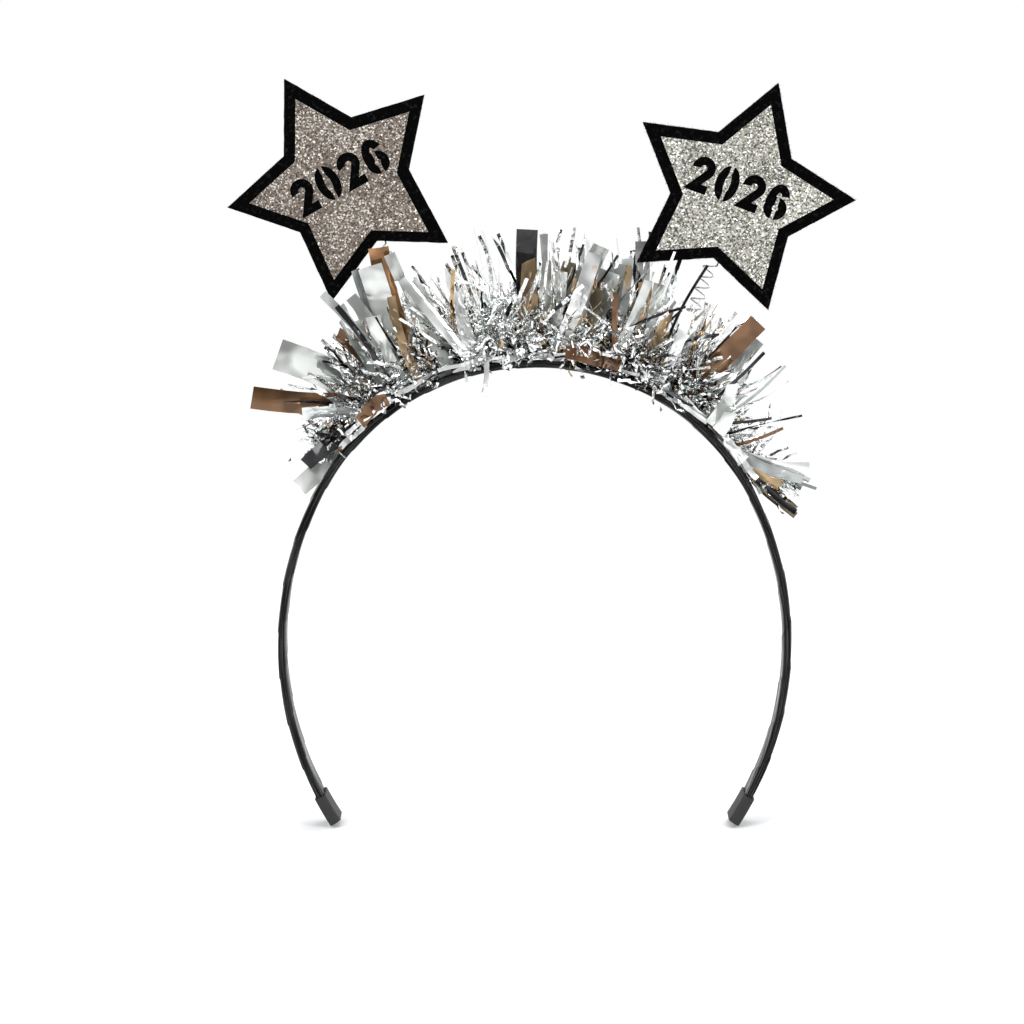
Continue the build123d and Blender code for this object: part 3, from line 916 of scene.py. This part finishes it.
# wide strips: root angle, tip angle and height above the band, depth of root and tip, width, roll, curl, tint
wideStrips = [
    (-36.2, -53.5, 32.4, 1, -3, 7.1, 0, 0.05, "bronze_reflection"),
    (-38, -45.5, 35, 2, -2, 10, 10, 0.3, "pale"),
    (-35, -41.5, 25, 0, -4, 5, 60, 0.5, "grey"),
    (-33, -35.5, 28, 0, -5, 6, 35, 1.3, "bronze_reflection"),
    (-35, -34.5, 24, -2, -7, 4, 60, 0.8, "smoke"),
    (-27, -23.4, 45, 0, -4, 6.4, 4, 0.05, "tan"),
    (-19.5, -22.2, 42, -5.6, -5.8, 3.6, 0, 0.05, "pale"),
    (-30, -25.6, 41, -1, -6, 7.6, -8, 0.2, "pale"),
    (-29.5, -27.8, 42, 0, -5, 3.0, 40, 0.3, "grey"),
    (-32, -31.5, 35, 0, -6, 8.4, 20, 0.4, "pale"),
    (-34, -33.8, 31, -3, -9, 4.4, 50, 0.4, "grey"),
    (-27, -24.5, 30, -4, -9, 3.0, 20, 0.4, "champagne_reflection"),
    (-33, -33.7, 41, -4, -9, 2.6, 15, 0.1, "pale"),
    (-33, -32.9, 35.5, -4, -9.5, 1.8, 12, 0.1, "smoke"),
    (-30, -28.8, 27, -4, -9, 4.6, -30, 0.5, "pale"),
    (-14, -21.5, 34, -7, -11, 3.4, 10, 0.1, "silver"),
    (-19, -21, 31, -2, -6, 8, 35, 0.4, "pale"),
    (-13, -13.5, 25, -6, -10, 5, 30, 0.5, "silver"),
    (0.4, -1.2, 40.5, 1, -3, 6.6, 5, 0.1, "smoke"),
    (-0.6, -1.2, 31, -1, -5.5, 6.4, 12, 0.3, "champagne_reflection"),
    (1.6, 1.4, 39, 0, -2, 3.0, 12, 0.1, "pale"),
    (4.6, 9.4, 35, -4, -8, 4.8, 5, 0.05, "silver"),
    (4.4, 10.4, 37, 1, -3, 9, 50, 0.3, "pale"),
    (3.0, 5.6, 31, 0, -4, 5.5, 40, 0.5, "olive_reflection"),
    (3.4, 4.4, 28, -2, -6, 4, -20, 0.6, "pale"),
    (6, 7.6, 27, -2, -8, 5, 30, 0.6, "champagne_reflection"),
    (9, 12.5, 30, 0, -4, 7.5, -40, 0.5, "pale"),
    (13, 13.4, 33, 0, -4, 5.4, -35, 0.4, "grey"),
    (10, 11, 24, -1, -6, 5, -30, 0.6, "olive_reflection"),
    (8.6, 9.4, 25, -2, -8, 4.4, 40, 0.6, "silver"),
    (18, 14.8, 35, 2, -2, 4.0, 10, 0.1, "cool"),
    (21, 14.4, 33, 0, -3, 5.0, 6, 0.1, "champagne_reflection"),
    (23, 18.5, 30, 0, -5, 4.6, 16, 0.2, "champagne_reflection"),
    (29, 16, 38, 5, 3, 4.6, 6, 0.1, "smoke"),
    (22, 16.4, 41, 4, 3, 4.6, -12, 0.1, "pale"),
    (24, 24, 25, -3, -8, 4.4, 22, 0.5, "champagne_reflection"),
    (17, 18.8, 31, -5, -10, 3, 10, 0.1, "pale"),
    (19, 14, 25, -7, -12, 1.8, 10, 0.1, "bronze_reflection"),
    (26, 20.8, 31, -3, -7, 4, -30, 0.3, "pale"),
    (28.5, 27, 27, -4, -9, 3.4, 5, 0.2, "silver"),
    (28, 26.6, 42, -3.4, -3.4, 0.9, 0, 0.1, "smoke"),
    (36, 37.8, 35.5, 0, -5, 6.6, 8, 0.4, "bronze_reflection"),
    (37, 39.8, 31, 2, -2, 4.4, -28, 0.6, "pale"),
    (39.5, 41.9, 29.4, -1, -3, 1.1, 20, 0.3, "smoke"),
    (42, 42.2, 21, -1, -3, 1.0, 10, 0.2, "grey"),
    (44, 46, 31, -1, -3, 1.0, 30, 0.3, "grey"),
    (43.5, 51.4, 17, -2, -4, 1.2, 20, 0.3, "smoke"),
    (51, 54.2, 18, -2, -4, 1.1, 20, 0.3, "bronze_reflection"),
    (53, 64.5, 15, -3, -6, 3.2, 12, 0.4, "grey"),
    (54.5, 63.2, 19, 0, -2, 2.6, -25, 0.5, "silver"),
    (54, 66.5, 14, 2, 0, 3.4, 30, 0.4, "pale"),
    (53, 65.5, 17, -2, -4, 2.2, 40, 0.4, "silver"),
    (55, 67.5, 18, 0, -3, 1.3, 40, 0.1, "grey"),
    (56, 68.2, 7, 2, 1, 4.6, 5, 0.15, "bronze_reflection"),
    (57, 70.6, 9.4, 0, -2, 1.9, 8, 0.1, "smoke"),
    (57.4, 71.4, 9, 0, -1, 2.4, 14, 0.1, "olive_reflection"),
    (57, 64, 8, -2, -4, 4, 20, 0.2, "champagne_reflection"),
    (44, 41, 16, -6, -10, 5, 25, 0.8, "pale"),
    (46, 44.5, 9, -7, -10, 4.4, 10, 0.5, "pale"),
    (-46, -58, 7, -3, -6, 5, 20, 0.3, "smoke"),
    (-49, -63.5, 5, -1, -3, 6.0, 10, 0.1, "pale"),
    (-45, -51.5, 9, -4, -7, 5, 60, 0.8, "smoke"),
    (-41, -50, 17, -3, -8, 4.4, -30, 0.8, "cool"),
    (-11, -13.6, -9, -7.4, -9, 1.6, 5, 0.2, "silver"),
]
wide = {
    "segments": 14,
    "across": 4,
    "thickness": 0.05,
    "cup": 0.175,
    "bulge": 0.05,
    "waver": 0.05,
    "extra": 30,
    # champagne and bronze here are painted reflections of brown hair on silver film
    "tints": ["silver", "pale", "pale", "cool", "grey", "champagne_reflection", "bronze_reflection", "smoke"],
}


def makeWideStrips():
    rng = np.random.default_rng(71)
    rows = list(wideStrips)
    for _ in range(wide["extra"]):  # more of them round the back and low in the pile
        root = rng.uniform(-50, 42)
        tip, height = root + rng.normal(0, 5), rng.uniform(10, 29)
        rootDepth, tipDepth = rng.uniform(0, 5), rng.uniform(2, 22)
        width, roll, curl = rng.uniform(2.2, 7.5), rng.uniform(-70, 70), rng.uniform(0.1, 1.2)
        rows.append((root, tip, height, rootDepth, tipDepth, width, roll, curl, rng.choice(wide["tints"])))
    rings = wide["segments"] + 1
    share = np.linspace(0, 1, rings)
    paths, sides, widths, tints = [], [], [], []
    for root, tip, height, rootDepth, tipDepth, width, roll, curl, tint in rows:
        foot = polar(math.radians(root), garland["rootRadius"] * mm, rootDepth * mm)
        end = polar(math.radians(tip), ribbonOuter + height * mm, tipDepth * mm)
        run = end - foot
        bulge = unit(np.cross(run, rng.normal(0, 1, 3))) * np.linalg.norm(run) * wide["bulge"]
        path = foot + share[:, None] * run + np.sin(share * math.pi)[:, None] * bulge
        across = unit(np.cross(run, (0, 1.0, 0)))
        face = np.cross(unit(run), across)
        turn = math.radians(roll) + curl * (share - 0.6) + rng.normal(0, wide["waver"], rings).cumsum()
        paths.append(path)
        sides.append(across * np.cos(turn)[:, None] + face * np.sin(turn)[:, None])
        widths.append(np.full(rings, width * mm))
        tints.append(np.array(garland["tints"][str(tint)]) * rng.normal(1, 0.04))
    paths, sides = np.array(paths), np.array(sides)
    widths, tints = np.array(widths), np.clip(np.array(tints), 0, 1)
    cup = rng.normal(0, wide["cup"], len(paths))
    kept = clearOfSprings(paths)
    kept[: len(wideStrips)] = True  # those of the list are placed one by one
    piece = layFilm(
        "wide_strips", paths[kept], sides[kept], widths[kept], wide["thickness"] * mm, tints[kept], stripFilm,
        across=wide["across"], cup=cup[kept],
    )
    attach(piece, "band")


makeWideStrips()

# strips that lie along the band instead of standing up: first angle, length, depth, width, height, tint
lowStrips = [
    (-47.5, 18, -7.5, 2.4, 2.0, "silver"),
    (-43, 11, -9, 5, 3.0, "bronze_reflection"),
    (6.6, 17, -10.5, 5, 3.6, "bronze_reflection"),
    (-22, 15, -9, 1.5, 2.6, "silver"),
    (-33, 13, -9, 2.2, 2.4, "silver"),
    (16, 13, -10, 1.4, 2.4, "silver"),
    (-6, 15, -5.4, 1.4, 1.6, "silver"),
    (-17, 22, -5.8, 1.1, 1.3, "silver"),
    (20, 18, -5.6, 1.2, 1.2, "smoke"),
    (28, 20, -5.4, 1.6, 1.4, "silver"),
    (44, 15, -4.5, 4.5, 1.8, "silver"),
    (51, 9, -4.2, 2.6, 1.4, "pale"),
    (-31, 17, -5.7, 1.3, 1.6, "smoke"),
    (12, 14, -5.8, 1.0, 1.1, "smoke"),
    (35, 17, 5.2, 5, 2, "champagne_reflection"),
    (-24, 20, 5.4, 4.2, 2, "silver"),
    (2, 19, 5.6, 5.5, 2, "silver"),
]
scraps = {"extra": 60, "wave": 0.5, "drift": 0.12, "waver": 0.15, "cup": 0.15}


def makeLowStrips():
    rng = np.random.default_rng(83)
    rings = wide["segments"] + 1
    share = np.linspace(0, 1, rings)
    paths, sides, widths, tints = [], [], [], []
    rows = list(lowStrips)
    for _ in range(scraps["extra"]):  # crumpled scraps pressed against the band by the rest
        depth = rng.choice([-1, 1]) * rng.uniform(4.2, 6.4)
        first, length = rng.uniform(-54, 54), rng.uniform(7, 17)
        width, height = rng.uniform(0.7, 2.4), rng.uniform(0.6, 2.6)
        rows.append((first, length, depth, width, height, rng.choice(["silver", "silver", "cool", "smoke"])))
    for first, length, depth, width, height, tint in rows:
        angle = math.radians(first) + share * length * mm / ribbonOuter
        lift = (height + scraps["wave"] * np.sin(share * 5 + rng.uniform(0, 6))) * mm
        drift = rng.normal(0, scraps["drift"], rings).cumsum() * mm
        path = polar(angle, ribbonOuter + lift, depth * mm + drift)
        radial, deep = polar(angle, 1, 0), np.array([0, 1.0, 0])
        turn = rng.uniform(0.2, 1.0) + rng.normal(0, scraps["waver"], rings).cumsum()
        paths.append(path)
        sides.append(radial * np.cos(turn)[:, None] + deep * np.sin(turn)[:, None] * np.sign(depth))
        widths.append(np.full(rings, width * mm))
        tints.append(garland["tints"][str(tint)])
    paths, sides = np.array(paths), np.array(sides)
    kept = clearOfSprings(paths)
    widths, tints = np.array(widths), np.array(tints)
    piece = layFilm(
        "low_strips", paths[kept], sides[kept], widths[kept], wide["thickness"] * mm, tints[kept], stripFilm,
        across=2, cup=np.full(int(kept.sum()), scraps["cup"]),
    )
    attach(piece, "band")


makeLowStrips()

core = {
    "wireRadius": 0.42,
    "twist": 4.2,  # mm along the core for one turn
    "stepsPerTurn": 12,
    "depth": 4.4,
    "radius": 79.05,
    "first": -54.5,
    "last": 59.5,
}


def makeCore():  # two wires twisted together, which grip the foot of every strand
    length = math.radians(core["last"] - core["first"]) * core["radius"]
    turns = length / core["twist"]
    steps = round(turns * core["stepsPerTurn"])
    bm = bmesh.new()
    for start in (0, math.pi):
        ring = bmesh.ops.create_circle(bm, segments=7, radius=core["wireRadius"] * mm)["verts"]
        aside = Vector((math.cos(start), math.sin(start), 0)) * core["wireRadius"] * mm
        bmesh.ops.translate(bm, verts=ring, vec=aside)
        edges = list({edge for vert in ring for edge in vert.link_edges})
        bmesh.ops.spin(
            bm, geom=edges, axis=(0, 0, 1), angle=turns * 2 * math.pi, dvec=(0, 0, length * mm / steps),
            steps=steps,
        )
    bmesh.ops.holes_fill(bm, edges=[edge for edge in bm.edges if edge.is_boundary])
    bmesh.ops.recalc_face_normals(bm, faces=bm.faces)
    radius, depth = core["radius"] * mm, core["depth"] * mm
    for vert in bm.verts:
        angle = math.radians(core["first"]) + vert.co.z / radius
        vert.co = heading(angle) * (radius + vert.co.x) + Vector((0, depth + vert.co.y, 0))
    piece = meshObject("twisted_core", bm, wire)
    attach(piece, "band")
    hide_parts("garland_core")


makeCore()
print("wide strips and core are in")

# finishes of the pieces that keep their shape
finishes = {"band_crown": plastic, "garland_glue": hotGlue}
for side in sideNames:
    finishes |= {side + "_band_leg": plastic, side + "_tip_cover": rubber, side + "_star_glue": craftGlue,
                 side + "_glitter_card": glitter[side]}
softEdges = {"_glitter_card": 0.16, "_tip_cover": 0.35}  # mm
for name, material in finishes.items():
    piece = nodes[name]
    piece.data.materials.clear()
    piece.data.materials.append(material)
    for ending, radius in softEdges.items():
        if name.endswith(ending):
            weld = piece.modifiers.new("weld", "WELD")
            weld.merge_threshold = 0.001 * mm
            soften = piece.modifiers.new("soften", "BEVEL")
            soften.width = radius * mm
            soften.segments = 2 if ending == "_glitter_card" else 3
            soften.limit_method = "ANGLE"
            soften.angle_limit = math.radians(40)
print("finishes are on")
